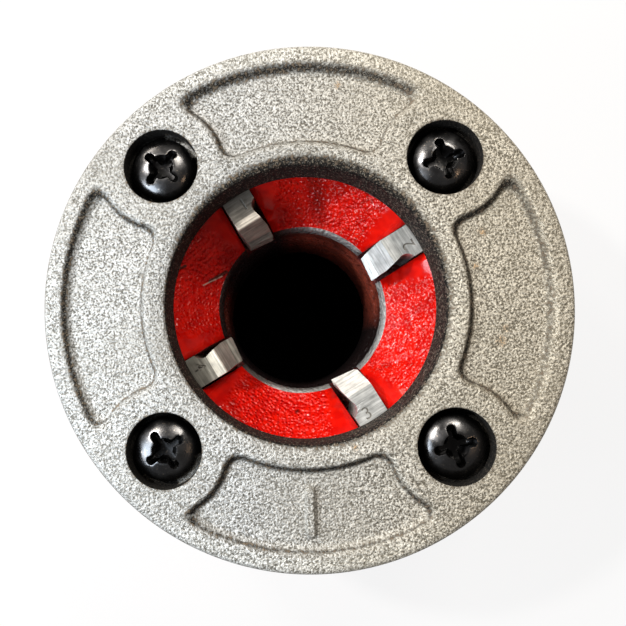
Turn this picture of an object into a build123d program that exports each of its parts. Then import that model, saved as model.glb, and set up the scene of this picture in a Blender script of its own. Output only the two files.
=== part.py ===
from build123d import *
import os
from math import cos, radians, sin, tan

# Drop-in die head that cuts the taper thread of 1 in pipe.
# It stands on its back, the driven end: z = 0 is the back face, and +Z runs along the
# bore to the cover plate. The pipe comes in from the back and travels along +Z.
# Sizes are in millimetres. Angles are counted from +X, seen from the cover plate.

os.makedirs("parts", exist_ok=True)

# Pipe and thread
pipe_d = 33.4
pipe_play = 1.2
pitch = 25.4 / 11.5
thread_depth = 1.75
thread_angle = 60
crest_r = 16.1
thread_taper = 1 / 32

# Cover plate
plate_d = 101.6
plate_t = 8.5
plate_edge = 1.0
plate_back_chamfer = 0.6
opening_r = 26.6
opening_draft = 2.5
opening_edge = 0.8
pocket_outer_r = 47.2
pocket_inner_r = 31.0
pocket_depth = 1.5
pocket_draft = 36
pocket_corner_r = 4.2
boss_r = 11.6
mark_len = 9.2
mark_w = 1.5
mark_h = 0.8
mark_r = 39.4

# Cover screws, 1/4 in pan heads in counterbores
screw_count = 4
screw_circle_d = 77.8
screw_start_angle = 45
screw_d = 6.3
screw_play = 0.3
screw_len = 15.9
head_d = 12.6
head_h = 4.0
head_rim_h = 1.1
head_shoulder_r = 5.1
head_shoulder_h = 3.05
head_flat_r = 2.2
counterbore_d = 14.4
counterbore_depth = 4.3
recess_span = 8.2
recess_w = 1.6
recess_depth = 2.4
recess_draft = 12
recess_turns = (15, 49, 35, 14)
tap_depth = 14.0

# Dies
die_start_angle = 30.5
die_t = 6.35
die_w = 17.0
die_back_play = 1.4
die_side_play = 0.4
die_end_play = 0.15
bevel_r = 20.3
lead_len = 5.0
lead_angle = 19
heel_r = 20.0
heel_relief = 0.85
hook_r = 2.0
hook_centre_r = 22.5
hook_depth = 1.45
rake_r = 18.5
rake_relief = 0.5
crest_relief = 7
die_travel = 0.9
stop_play = 0.05

# Lugs under the cover plate that stop the dies
lug_r = 36.0
lug_len = 3.0
lug_w = 5.8
lug_h = 2.2

# Body casting
body_h = 47.5
flange_d = 100.6
flange_h = 21.0
flange_edge = 0.8
slot_wall = 4.3
funnel_r = 27.9
ring_r = 18.1
ring_depth = 10.7
ring_len = 2.8
mouth_r = 20.0
mouth_len = 3.5
guide_len = 21.5
relief_r = 17.8
relief_step = 0.5
scallop_lip_r = 12.0
scallop_lip_cut = 2.0
scallop_lip_angle = 7.5
scallop_ring_r = 16.0
scallop_ring_cut = 0.12
scallop_ring_angle = 3.0
spline_tip_d = 94.0
spline_root_d = 78.0
spline_edge_r = 1.8
spline_lead = 1.6
snap_z = 9.0
snap_w = 4.4
snap_depth = 1.7
core_r = 28.6
core_w = 8.4
core_depth = 18.0
core_span_angle = 62

# Places that follow from these
bore_r = (pipe_d + pipe_play) / 2
plate_top = body_h + plate_t
slot_out_r = flange_d / 2 - slot_wall
die_out_r = slot_out_r - die_back_play
die_top = body_h - die_end_play
die_floor = die_top - die_w
slot_w = die_t + 2 * die_side_play
slot_floor = die_floor - die_end_play
half_t = die_t / 2
bevel_end_z = die_top - (bevel_r - crest_r)
ring_top_z = body_h - ring_depth
ring_end_z = ring_top_z - ring_len
flange_z = body_h - flange_h
guide_top = mouth_len + guide_len
field_floor = plate_top - pocket_depth
field_slope = pocket_depth * tan(radians(pocket_draft))
counterbore_z = plate_top - counterbore_depth
die_angles = [die_start_angle + 90 * (2 - number) for number in (1, 2, 3, 4)]


def crest_at(z):
    """Radius of the die's crests at height z: the cone of the taper thread."""
    return crest_r + thread_taper * (bevel_end_z - z)


def side_plane(angle):
    """Upright plane through the bore's axis: its x is the radius and its y the height."""
    return Plane(
        origin=(0, 0, 0),
        x_dir=(cos(radians(angle)), sin(radians(angle)), 0),
        z_dir=(sin(radians(angle)), -cos(radians(angle)), 0),
    )


def flat_plane(angle, height):
    """Level plane whose x runs out along one die."""
    return Plane(
        origin=(0, 0, height),
        x_dir=(cos(radians(angle)), sin(radians(angle)), 0),
        z_dir=(0, 0, 1),
    )


# Body: one casting with the flange that carries the dies, the funnel they show in, the
# bored pipe guide and the eight-pointed hub that the ratchet or drive turns.
with BuildPart() as die_head_body:
    with BuildSketch(Plane.XZ):
        with BuildLine():
            Polyline(
                (0, 0),
                (spline_root_d / 2, 0),
                (spline_root_d / 2, flange_z),
                (flange_d / 2 - flange_edge, flange_z),
                (flange_d / 2, flange_z + flange_edge),
                (flange_d / 2, body_h - flange_edge),
                (flange_d / 2 - flange_edge, body_h),
                (0, body_h),
                close=True,
            )
        make_face()
    revolve(axis=Axis.Z)

    # Two squares turned by 45 degrees give the hub its eight points.
    with BuildSketch() as star:
        for turn in (0, 45):
            Rectangle(spline_tip_d / 2**0.5, spline_tip_d / 2**0.5, rotation=turn)
        fillet(star.vertices().group_by(SortBy.DISTANCE)[-1], spline_edge_r)
    extrude(amount=flange_z)
    with BuildSketch(Plane.XZ):
        tip = spline_tip_d / 2
        Polygon(
            (tip - spline_lead, 0),
            (tip + spline_lead, 0),
            (tip + spline_lead, 2 * spline_lead),
            align=None,
        )
        with BuildLine():
            Polyline(
                (tip - snap_depth, snap_z - snap_w / 4),
                (tip - snap_depth, snap_z + snap_w / 4),
                (tip + 1, snap_z + snap_w / 2 + 0.5),
                (tip + 1, snap_z - snap_w / 2 - 0.5),
                close=True,
            )
        make_face()
    revolve(axis=Axis.Z, mode=Mode.SUBTRACT)

    # Funnel, faced ring, chip relief, pipe guide and its lead-in, bored in one setting
    with BuildSketch(Plane.XZ):
        with BuildLine():
            Polyline(
                (0, 0),
                (mouth_r, 0),
                (bore_r, mouth_len),
                (bore_r, guide_top),
                (relief_r, guide_top + relief_step),
                (relief_r, ring_end_z - relief_step),
                (bore_r, ring_end_z),
                (ring_r, ring_top_z),
                (funnel_r, body_h),
                (0, body_h),
                close=True,
            )
        make_face()
    revolve(axis=Axis.Z, mode=Mode.SUBTRACT)

    # Cast chip scallops between the dies, shallow at the ring and deep at the lip. The
    # circles start on their inner side, which keeps the loft's seam out of the wall.
    for angle in die_angles:
        middle = angle + 45
        lip_c = funnel_r + scallop_lip_cut - scallop_lip_r
        ring_c = ring_r + scallop_ring_cut - scallop_ring_r
        with BuildSketch(flat_plane(middle + scallop_ring_angle + 180, ring_top_z)):
            with Locations((-ring_c, 0)):
                Circle(scallop_ring_r)
        with BuildSketch(flat_plane(middle + scallop_lip_angle + 180, body_h)):
            with Locations((-lip_c, 0)):
                Circle(scallop_lip_r)
        loft(mode=Mode.SUBTRACT)

    # Die slots, open to the top and to the bore
    for angle in die_angles:
        with BuildSketch(flat_plane(angle, slot_floor)):
            with Locations((slot_out_r / 2, 0)):
                Rectangle(slot_out_r, slot_w)
        extrude(amount=body_h - slot_floor, mode=Mode.SUBTRACT)

    # Tapped holes of the cover screws
    with Locations(Plane.XY.offset(body_h)):
        with PolarLocations(screw_circle_d / 2, screw_count, start_angle=screw_start_angle):
            Hole(radius=(screw_d + screw_play) / 2, depth=tap_depth)

    # Cored pockets in the back, round the guide tube
    with BuildSketch() as core:
        for quarter in range(4):
            start = screw_start_angle + 90 * quarter - core_span_angle / 2
            SlotArc(CenterArc((0, 0), core_r, start, core_span_angle), core_w)
    extrude(amount=core_depth, mode=Mode.SUBTRACT)
die_head_body.part.label = "die_head_body"

# Shape of the cover plate's recessed fields: a ring parted by the four screw bosses, with
# rounded corners and sloping cast walls
with BuildPart() as field_cutter:
    outlines = []
    for height, inset in ((plate_top, 0), (field_floor, field_slope)):
        with BuildSketch(Plane.XY.offset(height), mode=Mode.PRIVATE) as outline:
            Circle(pocket_outer_r - inset)
            Circle(pocket_inner_r + inset, mode=Mode.SUBTRACT)
            with PolarLocations(screw_circle_d / 2, screw_count, start_angle=screw_start_angle):
                Circle(boss_r + inset, mode=Mode.SUBTRACT)
            fillet(outline.vertices(), pocket_corner_r - inset)
        outlines.append(outline.sketch.faces().sort_by(Axis((0, 0, 0), (3, 1, 0))))
    for pair in zip(*outlines):
        loft(pair, ruled=True)

# Cover plate: a round casting with four recessed fields, which closes the die slots
with BuildPart() as cover_plate:
    with BuildSketch(Plane.XZ):
        wall_r = opening_r + plate_t * tan(radians(opening_draft))
        with BuildLine():
            Polyline(
                (opening_r, body_h),
                (plate_d / 2 - plate_back_chamfer, body_h),
                (plate_d / 2, body_h + plate_back_chamfer),
                (plate_d / 2, plate_top),
                (wall_r, plate_top),
                close=True,
            )
        make_face()
    revolve(axis=Axis.Z)
    rims = cover_plate.edges().filter_by(GeomType.CIRCLE).group_by(Axis.Z)[-1]
    chamfer(rims.sort_by(SortBy.LENGTH)[-1], plate_edge)
    rims = cover_plate.edges().filter_by(GeomType.CIRCLE).group_by(Axis.Z)[-1]
    chamfer(rims.sort_by(SortBy.LENGTH)[0], opening_edge)

    add(field_cutter.part, mode=Mode.SUBTRACT)

    # Raised bar cast in the field nearest to the user
    with BuildSketch(flat_plane(-90, field_floor)):
        with Locations((mark_r, 0)):
            SlotOverall(mark_len, mark_w)
    extrude(amount=mark_h)

    # Lugs that reach down into the die slots
    for angle in die_angles:
        with BuildSketch(flat_plane(angle, body_h)):
            with Locations((lug_r, 0)):
                Rectangle(lug_len, lug_w)
        extrude(amount=-lug_h)

    with Locations(Plane.XY.offset(plate_top)):
        with PolarLocations(screw_circle_d / 2, screw_count, start_angle=screw_start_angle):
            CounterBoreHole(
                radius=(screw_d + screw_play) / 2,
                counter_bore_radius=counterbore_d / 2,
                counter_bore_depth=counterbore_depth,
            )
cover_plate.part.label = "cover_plate"

# Dies: four flat chasers, ground with a hook in front of the teeth, a relieved heel, a
# bevelled front corner and a notch for the lug. The teeth step by a quarter pitch from
# die to die, so that the four cut one thread.
dies = []
for number, angle in enumerate(die_angles, start=1):
    with BuildPart() as die:
        with BuildSketch(flat_plane(angle, die_floor)):
            with BuildLine():
                Polyline(
                    (die_out_r, -half_t),
                    (die_out_r, half_t),
                    (heel_r, half_t),
                    (crest_r - 1, half_t - heel_relief),
                    (crest_r - 1, -half_t + rake_relief),
                    (rake_r, -half_t + rake_relief),
                    (hook_centre_r, -half_t + hook_depth),
                    (hook_centre_r, -half_t),
                    close=True,
                )
            make_face()
            with Locations((hook_centre_r, -half_t + hook_depth - hook_r)):
                Circle(hook_r, mode=Mode.SUBTRACT)
        extrude(amount=die_w)

        # Outline from the side: the bevelled corner and the notch for the lug
        with BuildSketch(side_plane(angle)):
            notch_in = lug_r - lug_len / 2 - stop_play
            notch_out = lug_r + lug_len / 2 + stop_play + die_travel
            notch_z = die_top - lug_h - stop_play
            with BuildLine():
                Polyline(
                    (bevel_r, die_top),
                    (crest_r - 1, die_top - (bevel_r - crest_r + 1)),
                    (crest_r - 1, die_floor),
                    (die_out_r, die_floor),
                    (die_out_r, die_top),
                    (notch_out, die_top),
                    (notch_out, notch_z),
                    (notch_in, notch_z),
                    (notch_in, die_top),
                    close=True,
                )
            make_face()
        extrude(amount=die_t, both=True, mode=Mode.INTERSECT)

        # Teeth: V grooves down the cone from the cutting edge, which fall back behind it
        edge_plane = side_plane(angle).offset(half_t - rake_relief)
        with BuildSketch(edge_plane):
            lead_z = die_floor + lead_len
            with BuildLine():
                Polyline(
                    (crest_at(die_top), die_top),
                    (crest_at(lead_z), lead_z),
                    (crest_at(lead_z) + lead_len * tan(radians(lead_angle)), die_floor),
                    (die_out_r + die_t, die_floor),
                    (die_out_r + die_t, die_top),
                    close=True,
                )
            make_face()
            groove_z = bevel_end_z + pitch * (angle / 360 % 1)
            while groove_z > die_floor:
                root = crest_at(groove_z) + thread_depth
                half_v = (thread_depth + 1) * tan(radians(thread_angle / 2))
                Polygon(
                    (root, groove_z),
                    (root - thread_depth - 1, groove_z + half_v),
                    (root - thread_depth - 1, groove_z - half_v),
                    align=None,
                    mode=Mode.SUBTRACT,
                )
                groove_z -= pitch
        back_off = edge_plane.x_dir * tan(radians(crest_relief)) - edge_plane.z_dir
        extrude(amount=die_t * 2, dir=back_off, both=True, mode=Mode.INTERSECT)
    die.part.label = f"die_{number}"
    dies.append(die.part)

# Cover screws: pan heads with a cross recess, seated on the counterbore floors
with BuildPart() as screw:
    with BuildSketch(Plane.XZ):
        with BuildLine():
            Polyline(
                (0, head_h),
                (0, -screw_len),
                (screw_d / 2, -screw_len),
                (screw_d / 2, 0),
                (head_d / 2, 0),
                (head_d / 2, head_rim_h),
                (head_shoulder_r, head_shoulder_h),
                (head_flat_r, head_h),
                close=True,
            )
        make_face()
    revolve(axis=Axis.Z)
    with BuildSketch(Plane.XY.offset(head_h)):
        for turn in (0, 90):
            Rectangle(recess_span, recess_w, rotation=turn)
    extrude(amount=-recess_depth, taper=recess_draft, mode=Mode.SUBTRACT)

with BuildPart() as cover_screws:
    for place, turn in enumerate(recess_turns):
        angle = radians(screw_start_angle + 90 * place)
        seat = (screw_circle_d / 2 * cos(angle), screw_circle_d / 2 * sin(angle), counterbore_z)
        with Locations(Location(seat, (0, 0, turn))):
            add(screw.part)
cover_screws.part.label = "cover_screws"

export_step(die_head_body.part, "parts/die_head_body.step")
export_step(cover_plate.part, "parts/cover_plate.step")
for die_part in dies:
    export_step(die_part, f"parts/{die_part.label}.step")
export_step(cover_screws.part, "parts/cover_screws.step")
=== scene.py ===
import math

import bmesh
import bpy
from mathutils import Matrix, Quaternion, Vector, noise
from mathutils.geometry import delaunay_2d_cdt


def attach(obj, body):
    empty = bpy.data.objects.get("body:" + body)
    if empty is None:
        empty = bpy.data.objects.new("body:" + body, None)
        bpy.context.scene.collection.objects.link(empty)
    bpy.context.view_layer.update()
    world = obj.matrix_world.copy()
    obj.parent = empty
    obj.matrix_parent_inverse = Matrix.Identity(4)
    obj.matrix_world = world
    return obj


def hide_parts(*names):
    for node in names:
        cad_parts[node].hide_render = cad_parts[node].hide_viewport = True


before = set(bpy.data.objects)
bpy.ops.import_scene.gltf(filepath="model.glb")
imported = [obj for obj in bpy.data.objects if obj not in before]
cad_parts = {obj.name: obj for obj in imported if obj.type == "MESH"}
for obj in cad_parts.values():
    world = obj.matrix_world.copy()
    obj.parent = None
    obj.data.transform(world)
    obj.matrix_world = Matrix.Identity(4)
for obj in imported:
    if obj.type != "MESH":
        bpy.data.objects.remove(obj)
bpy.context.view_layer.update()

# The view: straight down on the head from about 13 cm above its cover plate, as a phone
# is held over a tool on a bench. The small tilt and shift frame the head as photographed.
scene = bpy.context.scene
scene.view_settings.view_transform = "Standard"
MM = 0.001
camera_data = bpy.data.cameras.new("camera")
camera_data.sensor_width = 36
camera_data.lens = 39.40
camera_data.shift_x = 0.101
camera_data.shift_y = -0.0166
camera_data.clip_start = 0.01
camera = bpy.data.objects.new("camera", camera_data)
eye = Vector((-4.989, -9.042, 186.78)) * MM
tilt = Vector((math.radians(4.08), math.radians(2.50), math.radians(-1.25)))
turned = Quaternion(tilt.normalized(), tilt.length).to_matrix().to_4x4()
camera.matrix_world = Matrix.Translation(eye) @ turned
scene.collection.objects.link(camera)
scene.camera = camera


# The bench under the head: a plain white table top with the room's light on it. Under the
# bore lies a black disc: painted shade where the head shades the table.
def new_material(name):
    """A material with an empty tree but for its shader and output."""
    material = bpy.data.materials.new(name)
    material.use_nodes = True
    shader = material.node_tree.nodes["Principled BSDF"]
    return material, material.node_tree, shader


def add_node(tree, kind, inputs=None, **settings):
    """One shader node; inputs are plain values or the sockets that feed them."""
    made = tree.nodes.new("ShaderNode" + kind)
    for key, value in settings.items():
        setattr(made, key, value)
    for key, value in (inputs or {}).items():
        if isinstance(value, bpy.types.NodeSocket):
            tree.links.new(value, made.inputs[key])
        else:
            made.inputs[key].default_value = value
    return made


def reckon(tree, operation, *values):
    """The result of one Math node on plain numbers or sockets."""
    return add_node(tree, "Math", dict(enumerate(values)), operation=operation).outputs[0]


def link_mesh(name, mesh):
    """An object at the origin that shows the mesh."""
    made = bpy.data.objects.new(name, mesh)
    scene.collection.objects.link(made)
    return made


def shell_object(name, shell):
    """An object made of a finished shell."""
    mesh = bpy.data.meshes.new(name)
    shell.to_mesh(mesh)
    shell.free()
    return link_mesh(name, mesh)


def disc(name, radius, height):
    shell = bmesh.new()
    bmesh.ops.create_circle(shell, cap_ends=True, segments=96, radius=radius)
    bmesh.ops.translate(shell, verts=shell.verts, vec=(0, 0, height))
    return shell_object(name, shell)


table_top = disc("table_top", 3.0, 0)
table_white, tree, shader = new_material("table_white")
shader.inputs["Base Color"].default_value = (0.9, 0.9, 0.9, 1)
shader.inputs["Roughness"].default_value = 0.8
path = add_node(tree, "LightPath")
seen = reckon(tree, "MAXIMUM", path.outputs["Is Camera Ray"], path.outputs["Is Glossy Ray"])
seen = reckon(tree, "MAXIMUM", seen, path.outputs["Is Transmission Ray"])
share = reckon(tree, "MULTIPLY", seen, 0.85)
white = add_node(tree, "Emission", {"Color": (1, 1, 1, 1), "Strength": 1.0})
mixed = add_node(tree, "MixShader", {0: share, 1: shader.outputs[0], 2: white.outputs[0]})
tree.links.new(mixed.outputs[0], tree.nodes["Material Output"].inputs["Surface"])
table_top.data.materials.append(table_white)

shaded_patch = disc("shaded_patch", 19.5 * MM, 0.05 * MM)
painted_shade_black, tree, shader = new_material("painted_shade_black")
shader.inputs["Base Color"].default_value = (0.001, 0.001, 0.001, 1)
shader.inputs["Roughness"].default_value = 1.0
shader.inputs["Specular IOR Level"].default_value = 0.0
shaded_patch.data.materials.append(painted_shade_black)


# The light: a small bright key and a weaker lamp from the upper left, and a soft warm lamp
# from the upper right. From the left come a cool bright sheet close by and a broad cool
# window, from low behind a warm lamp, and from the right a faint orange one.
def add_panel(name, azimuth, elevation, distance, size, power, colour):
    """A square light that faces the head, with its angles in degrees and sizes in metres."""
    light = bpy.data.lights.new(name, "AREA")
    light.size = size
    light.energy = power
    light.color = colour
    made = bpy.data.objects.new(name, light)
    turn, rise = math.radians(azimuth), math.radians(elevation)
    level = math.cos(rise)
    away = Vector((level * math.cos(turn), level * math.sin(turn), math.sin(rise)))
    made.location = Vector((0, 0, 0.05)) + away * distance
    made.rotation_euler = (-away).to_track_quat("-Z", "Y").to_euler()
    made.visible_camera = False
    scene.collection.objects.link(made)


add_panel("key_light", 154, 49, 0.52, 0.035, 1.75, (1.0, 0.98, 0.95))
add_panel("second_lamp", 134, 46, 0.50, 0.05, 0.52, (1.0, 0.95, 0.86))
add_panel("top_lamp", 62, 48, 0.38, 0.11, 0.62, (1.0, 0.95, 0.86))
add_panel("cool_sheet", 203, 37, 0.118, 0.056, 0.074, (0.76, 0.88, 1.0))
add_panel("low_window", 200, 29, 0.60, 0.18, 0.66, (0.86, 0.93, 1.0))
add_panel("low_lamp", 125, 20, 0.60, 0.18, 0.85, (1.0, 0.93, 0.82))
add_panel("right_lamp", -14, 43, 0.30, 0.03, 0.022, (1.0, 0.66, 0.40))
world = bpy.data.worlds.new("room")
world.use_nodes = True
world.node_tree.nodes["Background"].inputs["Color"].default_value = (1.0, 0.97, 0.94, 1)
world.node_tree.nodes["Background"].inputs["Strength"].default_value = 0.11
scene.world = world


# Body: an iron casting dipped in red enamel. Its funnel, ring and slots are machined; the
# ring stays bare, and the chip scallops between the dies keep the rough casting skin.
DIE_ANGLES = {1: 120.5, 2: 30.5, 3: 300.5, 4: 210.5}
RING_LOW_Z = 33.9
RING_TOP_Z = 36.8
CONE_LOW_R = 18.1
MOUTH_R = 27.9
MOUTH_Z = 47.5
SLOT_HALF = 3.62


def merged_copy(node, name):
    """The CAD node's solid as one closed mesh with shared corners."""
    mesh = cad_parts[node].data.copy()
    mesh.materials.clear()
    mesh.name = name
    shell = bmesh.new()
    shell.from_mesh(mesh)
    bmesh.ops.remove_doubles(shell, verts=shell.verts, dist=2e-6)
    shell.to_mesh(mesh)
    shell.free()
    return link_mesh(name, mesh)


def shade_smooth(piece, degrees):
    for face in piece.data.polygons:
        face.use_smooth = True
    piece.data.set_sharp_from_angle(angle=math.radians(degrees))


def remap(tree, value, low, high, to_low=0.0, to_high=1.0, **settings):
    """The value carried from the span low to high over to another span."""
    inputs = {0: value, 1: low, 2: high, 3: to_low, 4: to_high}
    return add_node(tree, "MapRange", inputs, **settings).outputs[0]


def blend(tree, share, base, over, how="MIX"):
    """The base colour with a share of the other colour worked in."""
    inputs = {0: share, 6: base, 7: over}
    return add_node(tree, "Mix", inputs, data_type="RGBA", blend_type=how).outputs[2]


def noise_at(tree, place, scale, detail, roughness=0.5):
    inputs = {"Vector": place, "Scale": scale, "Detail": detail, "Roughness": roughness}
    return add_node(tree, "TexNoise", inputs).outputs[0]


def bumped(tree, height, depth, strength=1.0):
    """A normal that follows the height, whose depth is given in mm."""
    inputs = {"Strength": strength, "Distance": depth * MM, "Height": height}
    return add_node(tree, "Bump", inputs).outputs[0]


def plan_and_reach(tree, place):
    """The place without its height, and how far it lies from the axis."""
    plan = add_node(tree, "VectorMath", {0: place, 1: (1, 1, 0)}, operation="MULTIPLY").outputs[0]
    reach = add_node(tree, "VectorMath", {0: plan}, operation="LENGTH").outputs["Value"]
    return plan, reach


def towards(tree, aim, x, y):
    """How nearly the aim points towards (x, y): 1 straight at it, 0 at a right angle."""
    inputs = {0: aim, 1: (x, y, 0)}
    return add_node(tree, "VectorMath", inputs, operation="DOT_PRODUCT").outputs["Value"]


def band(tree, value, low, high, soft=0.0):
    """1 where the value, in mm, lies between low and high, with soft ends, else 0."""
    rise = remap(tree, value, (low - soft) * MM, low * MM + 1e-7)
    fall = remap(tree, value, high * MM, (high + soft) * MM + 1e-7, 1.0, 0.0)
    return reckon(tree, "MULTIPLY", rise, fall)


def line_mask(tree, plan, start, end, width):
    """1 on the line from start to end in the plan, in mm, and 0 beyond the width."""
    run = Vector((end[0] - start[0], end[1] - start[1], 0)) * MM
    first = Vector((*start, 0)) * MM
    past = add_node(tree, "VectorMath", {0: plan, 1: first}, operation="SUBTRACT").outputs[0]
    inputs = {0: past, 1: run / run.length_squared}
    along = add_node(tree, "VectorMath", inputs, operation="DOT_PRODUCT").outputs["Value"]
    held = add_node(tree, "Clamp", {0: along}).outputs[0]
    foot = add_node(tree, "VectorMath", {0: run, "Scale": held}, operation="SCALE").outputs[0]
    off = add_node(tree, "VectorMath", {0: past, 1: foot}, operation="DISTANCE").outputs["Value"]
    return remap(tree, off, 0.0, width * MM, 1.0, 0.0)


def feed(tree, shader, sockets):
    """Links results into the shader's inputs."""
    for name, value in sockets.items():
        tree.links.new(value, shader.inputs[name])


body = merged_copy("die_head_body", "body_casting")
shade_smooth(body, 28)

# Where the cast skin lies: beyond the smooth cone that runs from the ring to the mouth, and
# midway between the slots
red_paint, tree, shader = new_material("red_enamel")
place = add_node(tree, "TexCoord").outputs["Object"]
height_z = add_node(tree, "SeparateXYZ", {0: place}).outputs[2]
plan, reach = plan_and_reach(tree, place)
cone_z = (RING_TOP_Z * MM, MOUTH_Z * MM)
cone = remap(tree, height_z, *cone_z, CONE_LOW_R * MM, MOUTH_R * MM, clamp=False)
beyond = reckon(tree, "SUBTRACT", reach, cone)
cast = remap(tree, beyond, 0.03 * MM, 0.35 * MM)
slot_turn = (0, 0, math.radians(-DIE_ANGLES[2]))
turned = add_node(tree, "Mapping", {"Vector": place, "Rotation": slot_turn}).outputs[0]
sides = add_node(tree, "VectorMath", {0: turned}, operation="ABSOLUTE").outputs[0]
sides = add_node(tree, "SeparateXYZ", {0: sides})
aside = reckon(tree, "MINIMUM", sides.outputs[0], sides.outputs[1])
lane = reckon(tree, "MULTIPLY_ADD", reach, -0.45, aside)
open_skin = remap(tree, lane, -4.3 * MM, -2.3 * MM, interpolation_type="SMOOTHSTEP")
cast = reckon(tree, "MAXIMUM", cast, open_skin)

# Its relief: pebbles and grain on lumps and broad swells, with two folds at the lower right
grain = noise_at(tree, place, 1500.0, 1.0)
lumps = noise_at(tree, place, 420.0, 1.0)
swell = noise_at(tree, place, 120.0, 1.0)
inputs = {"Vector": place, "Scale": 1450.0, "Smoothness": 1.0}
pebble = add_node(tree, "TexVoronoi", inputs, feature="SMOOTH_F1").outputs["Distance"]
fold = line_mask(tree, plan, (14.3, -12.9), (26.4, -10.5), 1.3)
fold_2 = line_mask(tree, plan, (20.0, -5.5), (27.0, 1.0), 1.8)
folds = reckon(tree, "ADD", fold, fold_2)
skin = reckon(tree, "MULTIPLY", grain, 0.35)
for part, weight in ((pebble, -2.1), (lumps, 1.0), (swell, 3.6), (folds, -2.2)):
    skin = reckon(tree, "MULTIPLY_ADD", part, weight, skin)
skin = reckon(tree, "ADD", skin, -1.6)
skin = reckon(tree, "MULTIPLY", skin, cast)
height = reckon(tree, "MULTIPLY_ADD", lumps, 0.12, skin)

# The enamel's colour, with painted glints as pale sparks in the skin on the right, painted
# shade beside die 1 and at the top, two scratches dark with their painted shadow, a bright
# scrape and a speck
tint = remap(tree, lumps, 0.35, 0.65)
colour = blend(tree, tint, (0.62, 0.003, 0.001, 1), (0.80, 0.008, 0.002, 1))
aim = add_node(tree, "VectorMath", {0: plan}, operation="NORMALIZE").outputs[0]
painted_glints = remap(tree, noise_at(tree, place, 2300.0, 1.0), 0.58, 0.72)
glint_side = remap(tree, towards(tree, aim, 0.97, 0.24), 0.2, 0.9, 0.0, 0.7)
crowd = remap(tree, lumps, 0.40, 0.58, 0.45, 1.0)
for part in (glint_side, cast, crowd):
    painted_glints = reckon(tree, "MULTIPLY", painted_glints, part)
colour = blend(tree, painted_glints, colour, (0.98, 0.50, 0.45, 1))
# Painted shade: the enamel darker in a band at the top and beside die 1
shade_at_top = line_mask(tree, plan, (2.6, 27.5), (4.6, 19.8), 2.9)
shade_at_top = remap(tree, reckon(tree, "MULTIPLY", shade_at_top, lumps), 0.08, 0.42, 0.0, 0.52)
shade_by_die_1 = remap(tree, towards(tree, aim, -0.85, 0.53), 0.93, 1.0, 0.0, 0.42)
painted_shade = reckon(tree, "ADD", shade_at_top, shade_by_die_1)
colour = blend(tree, painted_shade, colour, (0.07, 0.002, 0.001, 1))
# Two scratches, dark as scratches and as their painted shadow
scratch = line_mask(tree, plan, (-19.8, 6.4), (-16.4, 8.6), 0.62)
nick = line_mask(tree, plan, (-25.5, 8.6), (-24.4, 9.2), 0.45)
scratch_and_shadow = remap(tree, reckon(tree, "ADD", scratch, nick), 0.25, 0.6, 0.0, 0.9)
colour = blend(tree, scratch_and_shadow, colour, (0.035, 0.014, 0.010, 1))
scrape = line_mask(tree, plan, (-21.2, 5.5), (-17.4, 7.6), 0.26)
colour = blend(tree, remap(tree, scrape, 0.3, 0.7, 0.0, 0.85), colour, (0.52, 0.36, 0.30, 1))
speck = line_mask(tree, plan, (-1.9, -21.9), (-1.6, -21.7), 0.55)
colour = blend(tree, speck, colour, (0.05, 0.004, 0.003, 1))

# The bare ring, with painted shade on its upper left, then the bore, painted dark as shade with
# a painted pool of light at the upper right and a fainter one at the left, and the slots, whose
# lower walls are painted dark as shade
iron = noise_at(tree, place, 700.0, 2.0)
iron = blend(tree, iron, (0.30, 0.30, 0.29, 1), (0.60, 0.60, 0.58, 1))
ring_shade = remap(tree, towards(tree, aim, -0.94, 0.34), 0.0, 0.6, 0.0, 0.97)
iron = blend(tree, ring_shade, iron, (0.018, 0.010, 0.008, 1))
ring = band(tree, height_z, RING_LOW_Z, RING_TOP_Z + 0.02)
ring = reckon(tree, "MULTIPLY", ring, band(tree, reach, 0.0, 18.6))
colour = blend(tree, ring, colour, iron)
# Painted light and shade in the bore: lit at the upper right, faintly lit at the left
painted_light_patch = remap(tree, towards(tree, aim, 0.70, 0.714), 0.50, 0.80)
faint_painted_light = remap(tree, towards(tree, aim, -1.0, 0.03), 0.93, 1.0, 0.0, 0.4)
mottle = remap(tree, lumps, 0.25, 0.75, 0.35, 1.0)
painted_light_patch = reckon(tree, "MULTIPLY", reckon(tree, "ADD", painted_light_patch, faint_painted_light), mottle)
bore_shade_and_light = blend(tree, painted_light_patch, (0.008, 0.003, 0.003, 1), (0.30, 0.050, 0.026, 1))
bore = band(tree, height_z, 3.0, RING_LOW_Z)
bore = reckon(tree, "MULTIPLY", bore, band(tree, reach, 0.0, 18.0))
colour = blend(tree, bore, colour, bore_shade_and_light)
# Painted shade: the slots' walls darker below the mouth
slot_shade = band(tree, aside, 0.0, SLOT_HALF)
for part in (band(tree, height_z, 29.5, 40.5, 2.0), band(tree, reach, 17.0, 46.5)):
    slot_shade = reckon(tree, "MULTIPLY", slot_shade, part)
colour = blend(tree, slot_shade, colour, (0.085, 0.006, 0.005, 1))
gloss = remap(tree, cast, 0.0, 1.0, 0.20, 0.18)
gloss = reckon(tree, "MULTIPLY_ADD", reckon(tree, "ADD", bore, slot_shade), 0.30, gloss)
gloss = reckon(tree, "MULTIPLY_ADD", ring, 0.25, gloss)
metal = reckon(tree, "MULTIPLY", ring, 0.35)
normal = bumped(tree, height, 0.26)
feed(tree, shader, {"Base Color": colour, "Metallic": metal, "Roughness": gloss, "Normal": normal})
shader.inputs["Specular IOR Level"].default_value = 0.40
body.data.materials.append(red_paint)
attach(body, "head")
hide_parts("die_head_body")

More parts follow.
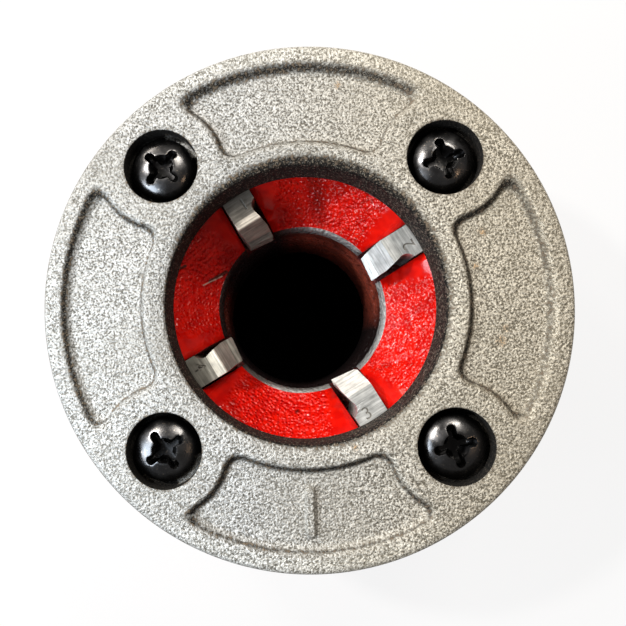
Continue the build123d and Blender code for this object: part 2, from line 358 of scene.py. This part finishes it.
# Dies: four chasers of hardened tool steel, ground on every face, with their place in the
# head stamped on top. The first table below gives each die its tone as painted light and
# shade: dies 1 and 4 darker where the lip shades them, dies 2 and 3 bright. The second holds,
# for each die, the tone of a painted band of light where the top meets the bevel, the bevel's
# painted light and shade, and where the band ends, at the edge of the lip's painted shadow.
DIE_TOP = 47.35
DIE_LIT_TONES = {
    1: (0.45, 0.40, 0.34),
    2: (0.90, 0.90, 0.87),
    3: (0.96, 0.95, 0.91),
    4: (0.50, 0.48, 0.42),
}
DIE_LIT_BANDS = {
    1: (2.1, 0.65, 21.8),
    2: (1.0, 0.80, 21.8),
    3: (1.0, 1.15, 21.8),
    4: (2.8, 0.85, 22.3),
}
BAND_START = 20.2
BAND_SOFT = 0.15
STAMP_REACH = {1: 24.6, 2: 24.8, 3: 25.0, 4: 24.7}
STAMP_ASIDE = -0.6
STAMP_SIZE = 3.6
STAMP_DEPTH = 0.22


def ground_steel(name, colour, angle, band_light):
    """Tool steel with fine grinding lines across the die, with painted light and shade: a tone
    for the band where the top meets the bevel and one for the bevel itself, against the top's."""
    lit_band_tone, lit_bevel_tone, lit_band_end = band_light
    steel, tree, shader = new_material(name)
    place = add_node(tree, "TexCoord").outputs["Object"]
    spin = (0, 0, math.radians(-angle))
    turned = add_node(tree, "Mapping", {"Vector": place, "Rotation": spin}).outputs[0]
    lines = add_node(tree, "Mapping", {"Vector": turned, "Scale": (2600, 160, 900)}).outputs[0]
    scratch = noise_at(tree, lines, 1.0, 3.0, 0.6)
    blotch = noise_at(tree, place, 420.0, 2.0)
    dark = tuple(0.62 * part for part in colour) + (1,)
    tone = blend(tree, remap(tree, blotch, 0.3, 0.7), dark, (*colour, 1))
    tone = blend(tree, 1.0, tone, remap(tree, scratch, 0.35, 0.62, 0.62, 1.0), "MULTIPLY")
    along = add_node(tree, "SeparateXYZ", {0: turned}).outputs[0]
    bevel = remap(tree, along, BAND_START * MM, (BAND_START + BAND_SOFT) * MM, lit_bevel_tone, 1.0)
    strip = band(tree, along, BAND_START, lit_band_end, BAND_SOFT)
    extra = reckon(tree, "MULTIPLY_ADD", strip, lit_band_tone - 1.0, bevel)
    tone = add_node(tree, "VectorMath", {0: tone, "Scale": extra}, operation="SCALE").outputs[0]
    gloss = remap(tree, scratch, 0.3, 0.7, 0.34, 0.5)
    normal = bumped(tree, scratch, 0.06)
    feed(tree, shader, {"Base Color": tone, "Normal": normal, "Roughness": gloss})
    shader.inputs["Metallic"].default_value = 0.55
    return steel


def stamp(number, angle, reach):
    """The number as a thin block that sinks into the top of its die."""
    letters = bpy.data.curves.new(f"stamp_{number}", "FONT")
    letters.body = str(number)
    letters.size = STAMP_SIZE * MM
    letters.extrude = STAMP_DEPTH * MM
    letters.align_x = "CENTER"
    letters.align_y = "CENTER"
    shape = bpy.data.objects.new(f"stamp_{number}", letters)
    scene.collection.objects.link(shape)
    mesh = plain_mesh(shape)
    bpy.data.objects.remove(shape)
    mesh.transform(
        Matrix.Rotation(math.radians(angle), 4, "Z")
        @ Matrix.Translation(Vector((reach, STAMP_ASIDE, DIE_TOP)) * MM)
        @ Matrix.Rotation(math.radians(90), 4, "Z")
    )
    return link_mesh(f"stamp_{number}", mesh)


def plain_mesh(piece):
    """The mesh that the piece shows, with its modifiers worked in."""
    bpy.context.view_layer.update()
    shown = piece.evaluated_get(bpy.context.evaluated_depsgraph_get())
    return bpy.data.meshes.new_from_object(shown)


def apply_modifiers(piece):
    mesh = plain_mesh(piece)
    piece.modifiers.clear()
    piece.data = mesh


def cut_and_round(piece, cutter, width, sharp):
    """Cuts the cutter out of the piece and asks for rounded edges of a width in mm, where
    faces meet at more than an angle in degrees. Dies 2 to 4 stay all but sharp."""
    cut = piece.modifiers.new("cut", "BOOLEAN")
    cut.operation = "DIFFERENCE"
    cut.solver = "EXACT"
    cut.object = cutter
    edge = piece.modifiers.new("edge", "BEVEL")
    edge.width = width * MM
    edge.segments = 2
    edge.limit_method = "ANGLE"
    edge.angle_limit = math.radians(sharp)
    apply_modifiers(piece)
    bpy.data.objects.remove(cutter)


def flat_where_large(piece, least):
    """Flat shading for faces above an area in square mm, so that ground planes stay plane."""
    for face in piece.data.polygons:
        face.use_smooth = face.area < least * MM * MM


stamp_oil, tree, shader = new_material("stamp_oil")
place = add_node(tree, "TexCoord").outputs["Object"]
tone = noise_at(tree, place, 1800.0, 1.0)
tone = blend(tree, tone, (0.09, 0.08, 0.07, 1), (0.40, 0.38, 0.34, 1))
feed(tree, shader, {"Base Color": tone})
shader.inputs["Roughness"].default_value = 0.5

for number, angle in DIE_ANGLES.items():
    die = merged_copy(f"die_{number}", f"die_blank_{number}")
    cutter = stamp(number, angle, STAMP_REACH[number])
    steel = ground_steel(f"die_steel_{number}", DIE_LIT_TONES[number], angle, DIE_LIT_BANDS[number])
    for blank in (die, cutter):
        blank.data.materials.clear()
        blank.data.materials.append(steel)
        blank.data.materials.append(stamp_oil)
    for face in cutter.data.polygons:
        face.material_index = 1
    cut_and_round(die, cutter, 0.07, 32)
    shade_smooth(die, 30)
    flat_where_large(die, 0.4)
    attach(die, f"die_{number}")
    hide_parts(f"die_{number}")

# Cover plate: an iron casting, shot-blasted and plated, with four recessed fields between
# the screw bosses. Its face is one fine mesh that follows the relief, with turned bands for
# the outer edge, the opening and the four screw wells.
PLATE_TOP = 56.0
PLATE_BACK = 47.5
PLATE_R = 50.8
BACK_CHAMFER = 0.6
OPENING_R = 26.6
OPENING_SLOPE = math.tan(math.radians(2.5))
OPENING_TOP_R = OPENING_R + (PLATE_TOP - PLATE_BACK) * OPENING_SLOPE
EDGE_R = 1.1
LIP_R = 1.0
LIP_INSET = 0.68
SHOULDER_R = 31.2
SHOULDER_DROP = 0.55
SCREW_R = 38.9
BOSS_R = 11.6
FIELD_OUT_R = 47.45
FIELD_IN_R = 31.0
FIELD_DEPTH = 1.5
FIELD_CORNER_R = 4.2
FIELD_SLOPE = 1.1
OUTER_SLOPE_MORE = 0.8
OUTER_START_R = 43.5
OUTER_RUN = 2.5
BAR_START = 35.6
BAR_END = 43.2
BAR_HALF = 1.1
BAR_SLOPE = 0.55
WELL_R = 7.2
WELL_EDGE = 0.25
WELL_MID_Z = 54.2
WELL_FLOOR = 51.7
FLOOR_MID_R = 5.2
HOLE_R = 3.3
RIM_BLEND = 0.8
screw_places = []
for quarter in range(4):
    turn = math.radians(45 + 90 * quarter)
    screw_places.append((SCREW_R * math.cos(turn), SCREW_R * math.sin(turn)))


def well_distance(x, y):
    """How far a point lies from the nearest screw's axis, in mm."""
    return min(math.hypot(x - a, y - b) for a, b in screw_places)


def bar_distance(x, y):
    """How far a point lies from the middle line of the raised bar, in mm."""
    along = min(max(-y, BAR_START), BAR_END)
    return math.hypot(x, -y - along)


def field_reach(x, y):
    """How far a point lies inside the outline of a recessed field, in mm."""
    r = math.hypot(x, y)
    sides = (FIELD_OUT_R - r, r - FIELD_IN_R, well_distance(x, y) - BOSS_R)
    over = math.sqrt(sum(max(FIELD_CORNER_R - side, 0) ** 2 for side in sides))
    return max(FIELD_CORNER_R, min(sides)) - over


def ease(value):
    value = min(max(value, 0.0), 1.0)
    return value * value * (3 - 2 * value)


def near_outer_wall(r):
    """0 in the middle of a field, rising to 1 towards its outer wall."""
    return ease((r - OUTER_START_R) / OUTER_RUN)


def face_height(x, y):
    """Height of the plate's face at a point, in mm."""
    inside = field_reach(x, y)
    slope = FIELD_SLOPE + OUTER_SLOPE_MORE * near_outer_wall(math.hypot(x, y))
    sunk = FIELD_DEPTH * ease((inside + 0.25) / (slope + 0.5))
    raised = ease((BAR_HALF - bar_distance(x, y)) / BAR_SLOPE)
    wave = 0.035 * noise.noise(Vector((x, y, 3.0)) * 0.22)
    ripple = 0.02 * noise.noise(Vector((x, y, 9.0)) * 0.7)
    return PLATE_TOP - sunk + raised + (wave + ripple)


def ring_points(radius, count, centre=(0.0, 0.0)):
    turns = [2 * math.pi * k / count for k in range(count)]
    return [(centre[0] + radius * math.cos(a), centre[1] + radius * math.sin(a)) for a in turns]


def loop_edges(start, count):
    return [(start + k, start + (k + 1) % count) for k in range(count)]


def outlines(outer_r, inner_r, screw_r):
    """The points of the outer edge, the opening and the four screws, and their edges."""
    loops = [(outer_r, outer_count, (0.0, 0.0)), (inner_r, opening_count, (0.0, 0.0))]
    loops += [(screw_r, well_count, centre) for centre in screw_places]
    points, edges = [], []
    for radius, count, centre in loops:
        edges += loop_edges(len(points), count)
        points += ring_points(radius, count, centre)
    return points, edges


def triangulate(points, edges, keep):
    """Triangles over the points, cut along the edges, where keep says so."""
    flat = [Vector(point) for point in points]
    made, _, faces, _, _, _ = delaunay_2d_cdt(flat, edges, [], 0, 1e-5)
    kept = []
    for face in faces:
        middle = sum((made[corner] for corner in face), Vector((0, 0))) / len(face)
        if keep(middle.x, middle.y):
            kept.append(face)
    return made, kept


def bridge(shell, rings):
    """Faces between rings that have as many corners each."""
    for low, high in zip(rings, rings[1:]):
        count = len(low)
        for k in range(count):
            after = (k + 1) % count
            shell.faces.new([low[k], low[after], high[after], high[k]])


def new_ring(shell, corners):
    return [shell.verts.new(Vector(corner) * MM) for corner in corners]


def lathe(shell, profile, count, centre=(0.0, 0.0)):
    """A band of faces through the profile's points (r, z), turned round a centre."""
    rings = []
    for radius, z in profile:
        rings.append(new_ring(shell, [(x, y, z) for x, y in ring_points(radius, count, centre)]))
    bridge(shell, rings)


outer_count, opening_count, well_count = 480, 320, 96
face_out_r = PLATE_R - EDGE_R
face_in_r = OPENING_TOP_R + LIP_INSET * LIP_R
lip_lean = math.atan(2 * SHOULDER_DROP / (SHOULDER_R - face_in_r))
well_top_r = WELL_R + WELL_EDGE
top_points, top_edges = outlines(face_out_r, face_in_r, well_top_r)

# Rows of points in a triangle pattern, twice as close on the fields' walls and the bar
GRID_STEP = 0.62
ROW_SHARE = 0.866
GRID_MARGIN = 0.35
for row in range(int(2 * PLATE_R / (GRID_STEP * ROW_SHARE)) + 2):
    for column in range(int(2 * PLATE_R / GRID_STEP) + 2):
        x = -PLATE_R + (column + 0.5 * (row % 2)) * GRID_STEP
        y = -PLATE_R + row * GRID_STEP * ROW_SHARE
        if not face_in_r + GRID_MARGIN < math.hypot(x, y) < face_out_r - GRID_MARGIN:
            continue
        if not well_distance(x, y) > well_top_r + GRID_MARGIN:
            continue
        top_points.append((x, y))
        if -0.7 < field_reach(x, y) < 2.1 or bar_distance(x, y) < 1.6:
            half_row = y + GRID_STEP * (ROW_SHARE / 2)
            top_points.append((x + GRID_STEP / 2, y))
            top_points.append((x + GRID_STEP / 4, half_row))
            top_points.append((x - GRID_STEP / 4, half_row))


def on_face(x, y):
    return math.hypot(x, y) > face_in_r and well_distance(x, y) > well_top_r


plate_shell = bmesh.new()
made, kept = triangulate(top_points, top_edges, on_face)
corners = []
for point in made:
    r = point.length
    from_edges = (face_out_r - r, r - face_in_r, well_distance(point.x, point.y) - well_top_r)
    rim = min(ease(gap / RIM_BLEND) for gap in from_edges)
    shoulder = SHOULDER_DROP * (max(SHOULDER_R - r, 0) / (SHOULDER_R - face_in_r)) ** 2
    z = PLATE_TOP - shoulder + (face_height(point.x, point.y) - PLATE_TOP) * rim
    corners.append(plate_shell.verts.new(Vector((point.x, point.y, z)) * MM))
for face in kept:
    plate_shell.faces.new([corners[k] for k in face])

quarter = [math.pi / 2 * k / 6 for k in range(7)]
lathe(
    plate_shell,
    [(face_out_r + EDGE_R * math.sin(a), PLATE_TOP - EDGE_R * (1 - math.cos(a))) for a in quarter]
    + [(PLATE_R, PLATE_TOP - 3.0), (PLATE_R, PLATE_BACK + 3.0)]
    + [(PLATE_R, PLATE_BACK + BACK_CHAMFER), (PLATE_R - BACK_CHAMFER, PLATE_BACK)],
    outer_count,
)
lip_r = face_in_r + LIP_R * math.sin(lip_lean)
lip_z = PLATE_TOP - SHOULDER_DROP - LIP_R * math.cos(lip_lean)
lip_turns = [lip_lean + (math.pi / 2 - lip_lean) * k / 6 for k in range(7)]
wall_steps = [lip_z - k * (lip_z - PLATE_BACK) / 6 for k in range(1, 7)]
lathe(
    plate_shell,
    [(lip_r - LIP_R * math.sin(a), lip_z + LIP_R * math.cos(a)) for a in lip_turns]
    + [(OPENING_R + (z - PLATE_BACK) * OPENING_SLOPE, z) for z in wall_steps],
    opening_count,
)
well_profile = []
for a in quarter[::2]:
    drop = WELL_EDGE * (1 - math.cos(a))
    well_profile.append((well_top_r - WELL_EDGE * math.sin(a), PLATE_TOP - drop))
well_profile += [(WELL_R, WELL_MID_Z), (WELL_R, WELL_FLOOR), (FLOOR_MID_R, WELL_FLOOR)]
well_profile += [(HOLE_R, WELL_FLOOR), (HOLE_R, PLATE_BACK)]
for centre in screw_places:
    lathe(plate_shell, well_profile, well_count, centre)

# The back, with the lugs that reach into the die slots
LUG_IN = 34.5
LUG_OUT = 37.5
LUG_HALF = 2.9
LUG_DEPTH = 2.2
lug_outline = (
    (LUG_IN, -LUG_HALF),
    (LUG_OUT, -LUG_HALF),
    (LUG_OUT, LUG_HALF),
    (LUG_IN, LUG_HALF),
)
back_points, back_edges = outlines(PLATE_R - BACK_CHAMFER, OPENING_R, HOLE_R)
lugs = []
for angle in DIE_ANGLES.values():
    spin = Matrix.Rotation(math.radians(angle), 2)
    square = [spin @ Vector(corner) for corner in lug_outline]
    back_edges += loop_edges(len(back_points), 4)
    back_points += [(corner.x, corner.y) for corner in square]
    lugs.append(square)


def on_back(x, y):
    for angle in DIE_ANGLES.values():
        local = Matrix.Rotation(math.radians(-angle), 2) @ Vector((x, y))
        if LUG_IN < local.x < LUG_OUT and abs(local.y) < LUG_HALF:
            return False
    return math.hypot(x, y) > OPENING_R and well_distance(x, y) > HOLE_R


made, kept = triangulate(back_points, back_edges, on_back)
corners = new_ring(plate_shell, [(point.x, point.y, PLATE_BACK) for point in made])
for face in kept:
    plate_shell.faces.new([corners[k] for k in reversed(face)])
for square in lugs:
    high = new_ring(plate_shell, [(corner.x, corner.y, PLATE_BACK) for corner in square])
    low = new_ring(plate_shell, [(corner.x, corner.y, PLATE_BACK - LUG_DEPTH) for corner in square])
    bridge(plate_shell, [high, low])
    plate_shell.faces.new(low)
bmesh.ops.remove_doubles(plate_shell, verts=plate_shell.verts, dist=4e-6)
loose = [vert for vert in plate_shell.verts if not vert.link_faces]
bmesh.ops.delete(plate_shell, geom=loose, context="VERTS")
bmesh.ops.recalc_face_normals(plate_shell, faces=plate_shell.faces)
plate = shell_object("plate_casting", plate_shell)
shade_smooth(plate, 38)

# How much old oil and painted shade each point holds: a seam of oil at the foot of the
# fields' walls, darker as painted shade on walls that face away from the upper left and
# broader on the outer walls at the upper right, oil and painted shade round the opening,
# broader on its upper side, and most in the screw wells. A few points have rusty stains.
STAINS = (
    (7.5, 43.0, 0.9),
    (34.4, 13.1, 1.1),
    (32.8, 6.5, 0.8),
    (37.0, -8.0, 1.3),
    (37.9, -5.6, 0.8),
    (8.6, -27.4, 0.8),
)
LIT_STRIPS = {1: 55.0, 2: -40.0}
LIT_STRIP_HALF = 32
LIT_STRIP_OIL = 0.1
WELL_OIL_AND_SHADE = 1.6
OPENING_OIL_AND_SHADE = 1.2
KEY_SIDE = Vector((-0.74, 0.67))


def seam_oil(x, y):
    """The oil at the foot of a field's wall, with painted shade where the wall faces away from
    the light.
    """
    inside = field_reach(x, y)
    if not -2 < inside < 5:
        return 0.0
    rise = Vector((field_reach(x + 0.1, y) - inside, field_reach(x, y + 0.1) - inside))
    shaded = -rise.dot(KEY_SIDE) / max(rise.length, 1e-6)
    facing = ease(0.5 + 0.9 * math.cos(math.atan2(y, x) - math.radians(50)))
    broad = facing * near_outer_wall(math.hypot(x, y))
    middle = 0.72 - 0.18 * shaded + 0.35 * broad
    width = 0.49 + 0.20 * shaded + 0.45 * broad
    return (0.83 + 0.19 * shaded - 0.12 * broad) * math.exp(-(((inside - middle) / width) ** 2))


def oil_at(x, y, z):
    """The oil and painted shade on the face, then on the opening, the side edge, darker towards
    the lower left, the lip, broader on the side away from the light, and the wells, each of
    which has the last word where it lies. In two wells a strip of floor is kept clean as
    painted light."""
    r = math.hypot(x, y)
    bearing = math.atan2(y, x)
    wells = [math.hypot(x - a, y - b) for a, b in screw_places]
    well = min(wells)
    held = 0.0
    if z > PLATE_TOP - 2.0:
        turned = math.cos(bearing - math.radians(70))
        lip_start = 29.05 - 0.45 * math.cos(2 * bearing) + 0.75 * turned
        on_lip = ease((lip_start - r) / 2.4)
        round_well = 0.5 * ease((8.0 - well) / 0.8)
        held = max(seam_oil(x, y), on_lip, round_well)
    in_opening = PLATE_BACK + 0.3 < z < PLATE_TOP - 0.95 and r < 30
    if r < OPENING_TOP_R + 0.3 or in_opening:
        held = OPENING_OIL_AND_SHADE
    if r > PLATE_R - 0.35 and PLATE_TOP - 1.3 < z < PLATE_TOP - 0.4:
        held = 0.45 - 0.25 * (x + y) / r
    if r < 28.2 and PLATE_TOP - 0.95 <= z < PLATE_TOP - 0.62:
        held = max(held, 0.5)
    if well < WELL_R + 0.1:
        held = WELL_OIL_AND_SHADE
        nearest = wells.index(well)
        if nearest in LIT_STRIPS and z < WELL_FLOOR + 0.1:
            a, b = screw_places[nearest]
            turn = math.degrees(math.atan2(y - b, x - a)) - LIT_STRIPS[nearest]
            held = LIT_STRIP_OIL if abs(turn) < LIT_STRIP_HALF else held
    return held


def stain_at(x, y):
    return max(math.exp(-(((x - a) ** 2 + (y - b) ** 2) / size**2)) for a, b, size in STAINS)


places = [vert.co / MM for vert in plate.data.vertices]
soil_and_shade = {
    "grime_and_shade": [oil_at(*point) for point in places],
    "stain": [stain_at(point.x, point.y) for point in places],
}
for name, values in soil_and_shade.items():
    layer = plate.data.attributes.new(name, "FLOAT", "POINT")
    layer.data.foreach_set("value", values)

# Its surface: grey plating with dark pits, warmer and brighter on the right as painted warm
# light, painted light on the rim at the top and bottom, under the oil and painted shade with
# its crumbs, chaff and painted glints
blasted, tree, shader = new_material("blasted_casting")
place = add_node(tree, "TexCoord").outputs["Object"]
dirt_and_shade = add_node(tree, "Attribute", attribute_name="grime_and_shade").outputs["Fac"]
stained = add_node(tree, "Attribute", attribute_name="stain").outputs["Fac"]
grain = noise_at(tree, place, 2600.0, 1.5, 0.6)
coarse = noise_at(tree, place, 1500.0, 1.0)
cloud = noise_at(tree, place, 60.0, 2.0)
sideways = add_node(tree, "SeparateXYZ", {0: place}).outputs[0]
warm_light_right = remap(tree, sideways, -12 * MM, 34 * MM, 0.0, 0.8)
pits = remap(tree, grain, remap(tree, warm_light_right, 0.0, 1.0, 0.36, 0.395), 0.60)
clean = blend(tree, pits, (0.13, 0.122, 0.105, 1), (0.66, 0.66, 0.65, 1))
soft = remap(tree, cloud, 0.35, 0.65, 0.0, 0.35)
clean = blend(tree, soft, clean, (0.34, 0.325, 0.29, 1))
clean = blend(tree, warm_light_right, clean, (1.10, 0.99, 0.80, 1), "MULTIPLY")
_, reach = plan_and_reach(tree, place)
# Painted light: the rim brighter at the top and bottom
rim_light = remap(tree, reach, 47.4 * MM, 48.2 * MM)
centred = remap(tree, reckon(tree, "ABSOLUTE", sideways), 12 * MM, 32 * MM, 0.9, 0.0)
rim_light = reckon(tree, "MULTIPLY", rim_light, centred)
clean = blend(tree, rim_light, clean, (1.28, 1.28, 1.26, 1), "MULTIPLY")
rust = remap(tree, reckon(tree, "MULTIPLY", stained, pits), 0.25, 0.8, 0.0, 0.8)
clean = blend(tree, rust, clean, (0.42, 0.24, 0.09, 1))
fleck = reckon(tree, "MULTIPLY_ADD", grain, 0.9, coarse)
fleck = reckon(tree, "MULTIPLY_ADD", fleck, 1.5, -1.42)
laid = remap(tree, reckon(tree, "ADD", dirt_and_shade, fleck), 0.28, 0.80)
open_air = remap(tree, dirt_and_shade, 1.25, 1.5, 1.0, 0.15)
thin = remap(tree, dirt_and_shade, 0.8, 1.15, 1.0, 0.0)
crumbs = reckon(tree, "MULTIPLY", remap(tree, coarse, 0.52, 0.66), open_air)
chaff = blend(tree, warm_light_right, (0.022, 0.016, 0.012, 1), (0.13, 0.10, 0.08, 1))
chaff = blend(tree, thin, chaff, (0.17, 0.130, 0.092, 1))
oil_and_shade_tone = blend(tree, crumbs, (0.006, 0.005, 0.004, 1), chaff)
glint = reckon(tree, "MULTIPLY", remap(tree, grain, 0.59, 0.68, 0.0, 0.75), open_air)
oil_and_shade_tone = blend(tree, glint, oil_and_shade_tone, (0.30, 0.26, 0.20, 1))
colour = blend(tree, laid, clean, oil_and_shade_tone)
metal = remap(tree, laid, 0.0, 1.0, 0.35, 0.0)
matt = remap(tree, laid, 0.0, 1.0, 0.55, 0.85)
normal = bumped(tree, reckon(tree, "MULTIPLY_ADD", grain, 1.0, coarse), 0.28)
feed(tree, shader, {"Base Color": colour, "Metallic": metal, "Roughness": matt, "Normal": normal})
shader.inputs["Specular IOR Level"].default_value = 0.3
plate.data.materials.append(blasted)
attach(plate, "head")
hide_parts("cover_plate")

# Cover screws: four black pan head machine screws with a cross recess, each turned as it
# came to rest when it was tightened. One screw is made and set at the four places.
HEAD_R = 6.3
HEAD_H = 4.0
HEAD_SIDE = 1.1
SHANK_R = 3.12
SHANK_LEN = 15.9
THREAD_PITCH = 1.27
THREAD_DEPTH = 0.62
THREAD_START = 1.5
TIP_LEN = 1.0
TIP_TAPER = 0.25
SCREW_COUNT = 72
ROWS_PER_TURN = 8
RECESS_TURNS = (15.0, 49.0, 35.0, 14.0)

screw_shell = bmesh.new()
tip = screw_shell.verts.new((0, 0, HEAD_H * MM))
head_profile = []
for k in range(1, 15):
    a = math.pi / 2 * k / 14
    dome = (HEAD_H - HEAD_SIDE) * math.cos(a) ** 1.15
    head_profile.append((HEAD_R * math.sin(a) ** 0.92, HEAD_SIDE + dome))
head_profile += [(HEAD_R, 0.5), (HEAD_R - 0.25, 0.0), (SHANK_R, 0.0)]
rings = []
for radius, z in head_profile:
    rings.append(new_ring(screw_shell, [(x, y, z) for x, y in ring_points(radius, SCREW_COUNT)]))
thread_rows = int(SHANK_LEN / THREAD_PITCH * ROWS_PER_TURN)
for row in range(1, thread_rows + 1):
    z = -SHANK_LEN * row / thread_rows
    taper = 1 - TIP_TAPER * ease((-z - SHANK_LEN + TIP_LEN) / TIP_LEN)
    ring = []
    for k in range(SCREW_COUNT):
        a = 2 * math.pi * k / SCREW_COUNT
        turn = (z / THREAD_PITCH - a / (2 * math.pi)) % 1
        depth = THREAD_DEPTH * abs(2 * turn - 1) * ease(-z / THREAD_START)
        radius = (SHANK_R - depth) * taper
        ring.append((radius * math.cos(a), radius * math.sin(a), z))
    rings.append(new_ring(screw_shell, ring))
for k in range(SCREW_COUNT):
    screw_shell.faces.new([tip, rings[0][k], rings[0][(k + 1) % SCREW_COUNT]])
for low, high in zip(rings, rings[1:]):
    for k in range(SCREW_COUNT):
        after = (k + 1) % SCREW_COUNT
        screw_shell.faces.new([low[k], high[k], high[after], low[after]])
screw_shell.faces.new(list(reversed(rings[-1])))
bmesh.ops.recalc_face_normals(screw_shell, faces=screw_shell.faces)
one_screw = shell_object("pan_head_screw", screw_shell)

# The cross recess: four wings with rounded ends, which narrow downwards round a cone. Each
# level gives half the span, half a wing's width, the cone's radius and its height.
LEVELS = (
    (4.35, 1.00, 2.55, 0.6),
    (4.15, 0.90, 2.35, -0.9),
    (3.75, 0.80, 1.95, -2.2),
    (2.70, 0.55, 1.20, -3.2),
)
WING_END = (-1.45, -1.1, -0.7, -0.3, 0.3, 0.7, 1.1, 1.45)
recess_shell = bmesh.new()
wings = []
for half_span, half_width, cone_r, rise in LEVELS:
    end = half_span - half_width
    side = math.asin(min(half_width * 0.9 / cone_r, 0.7))
    outline = [(cone_r * math.cos(side), -cone_r * math.sin(side))]
    outline += [(end + half_width * math.cos(a), half_width * math.sin(a)) for a in WING_END]
    for part in range(8):
        a = side + (math.pi / 2 - 2 * side) * part / 8
        outline.append((cone_r * math.cos(a), cone_r * math.sin(a)))
    ring = []
    for quarter_turn in range(4):
        spin = Matrix.Rotation(math.pi / 2 * quarter_turn, 2)
        ring += [(*(spin @ Vector(corner)), HEAD_H + rise) for corner in outline]
    wings.append(new_ring(recess_shell, ring))
bridge(recess_shell, wings)
recess_shell.faces.new(wings[0])
recess_shell.faces.new(list(reversed(wings[-1])))
bmesh.ops.recalc_face_normals(recess_shell, faces=recess_shell.faces)
cut_and_round(one_screw, shell_object("recess", recess_shell), 0.16, 40)

black_oxide, tree, shader = new_material("black_oxide")
place = add_node(tree, "TexCoord").outputs["Object"]
smear = noise_at(tree, place, 380.0, 3.0)
fine = noise_at(tree, place, 1500.0, 2.0)
dusty = remap(tree, noise_at(tree, place, 2600.0, 0.0), 0.74, 0.80)
tone = blend(tree, dusty, (0.135, 0.132, 0.134, 1), (0.34, 0.30, 0.26, 1))
height_z = add_node(tree, "SeparateXYZ", {0: place}).outputs[2]
# Painted shade: the head darker below its crown, in the recess and on its flanks
clear = remap(tree, height_z, 53.5 * MM, 54.5 * MM, 0.22, 1.0)
tone = add_node(tree, "VectorMath", {0: tone, "Scale": clear}, operation="SCALE").outputs[0]
gloss = remap(tree, smear, 0.35, 0.7, 0.20, 0.38)
normal = bumped(tree, fine, 0.05, 0.3)
feed(tree, shader, {"Base Color": tone, "Roughness": gloss, "Normal": normal})
shader.inputs["Metallic"].default_value = 1.0

points = bpy.data.meshes.new("screw_places")
points.from_pydata([(x * MM, y * MM, WELL_FLOOR * MM) for x, y in screw_places], [], [])
turns = points.attributes.new("turn", "FLOAT", "POINT")
turns.data.foreach_set("value", [math.radians(turn) for turn in RECESS_TURNS])
screws = link_mesh("screws_black", points)
group = bpy.data.node_groups.new("set_screws", "GeometryNodeTree")
for name, way, kind in (
    ("Geometry", "INPUT", "NodeSocketGeometry"),
    ("Screw", "INPUT", "NodeSocketObject"),
    ("Finish", "INPUT", "NodeSocketMaterial"),
    ("Geometry", "OUTPUT", "NodeSocketGeometry"),
):
    group.interface.new_socket(name, in_out=way, socket_type=kind)
given = group.nodes.new("NodeGroupInput")
result = group.nodes.new("NodeGroupOutput")
info = group.nodes.new("GeometryNodeObjectInfo")
turn = group.nodes.new("GeometryNodeInputNamedAttribute")
turn.data_type = "FLOAT"
turn.inputs["Name"].default_value = "turn"
spin = group.nodes.new("ShaderNodeCombineXYZ")
set_on = group.nodes.new("GeometryNodeInstanceOnPoints")
real = group.nodes.new("GeometryNodeRealizeInstances")
finish = group.nodes.new("GeometryNodeSetMaterial")
for source, output, target, socket in (
    (given, "Screw", info, "Object"),
    (given, "Geometry", set_on, "Points"),
    (info, "Geometry", set_on, "Instance"),
    (turn, "Attribute", spin, "Z"),
    (spin, "Vector", set_on, "Rotation"),
    (set_on, "Instances", real, "Geometry"),
    (real, "Geometry", finish, "Geometry"),
    (given, "Finish", finish, "Material"),
    (finish, "Geometry", result, "Geometry"),
):
    group.links.new(source.outputs[output], target.inputs[socket])
taken = [item for item in group.interface.items_tree if item.in_out == "INPUT"]
sockets = {item.name: item.identifier for item in taken}
setting = screws.modifiers.new("set_screws", "NODES")
setting.node_group = group
setting[sockets["Screw"]] = one_screw
setting[sockets["Finish"]] = black_oxide
apply_modifiers(screws)
bpy.data.objects.remove(one_screw)
shade_smooth(screws, 40)
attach(screws, "head")
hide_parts("cover_screws")
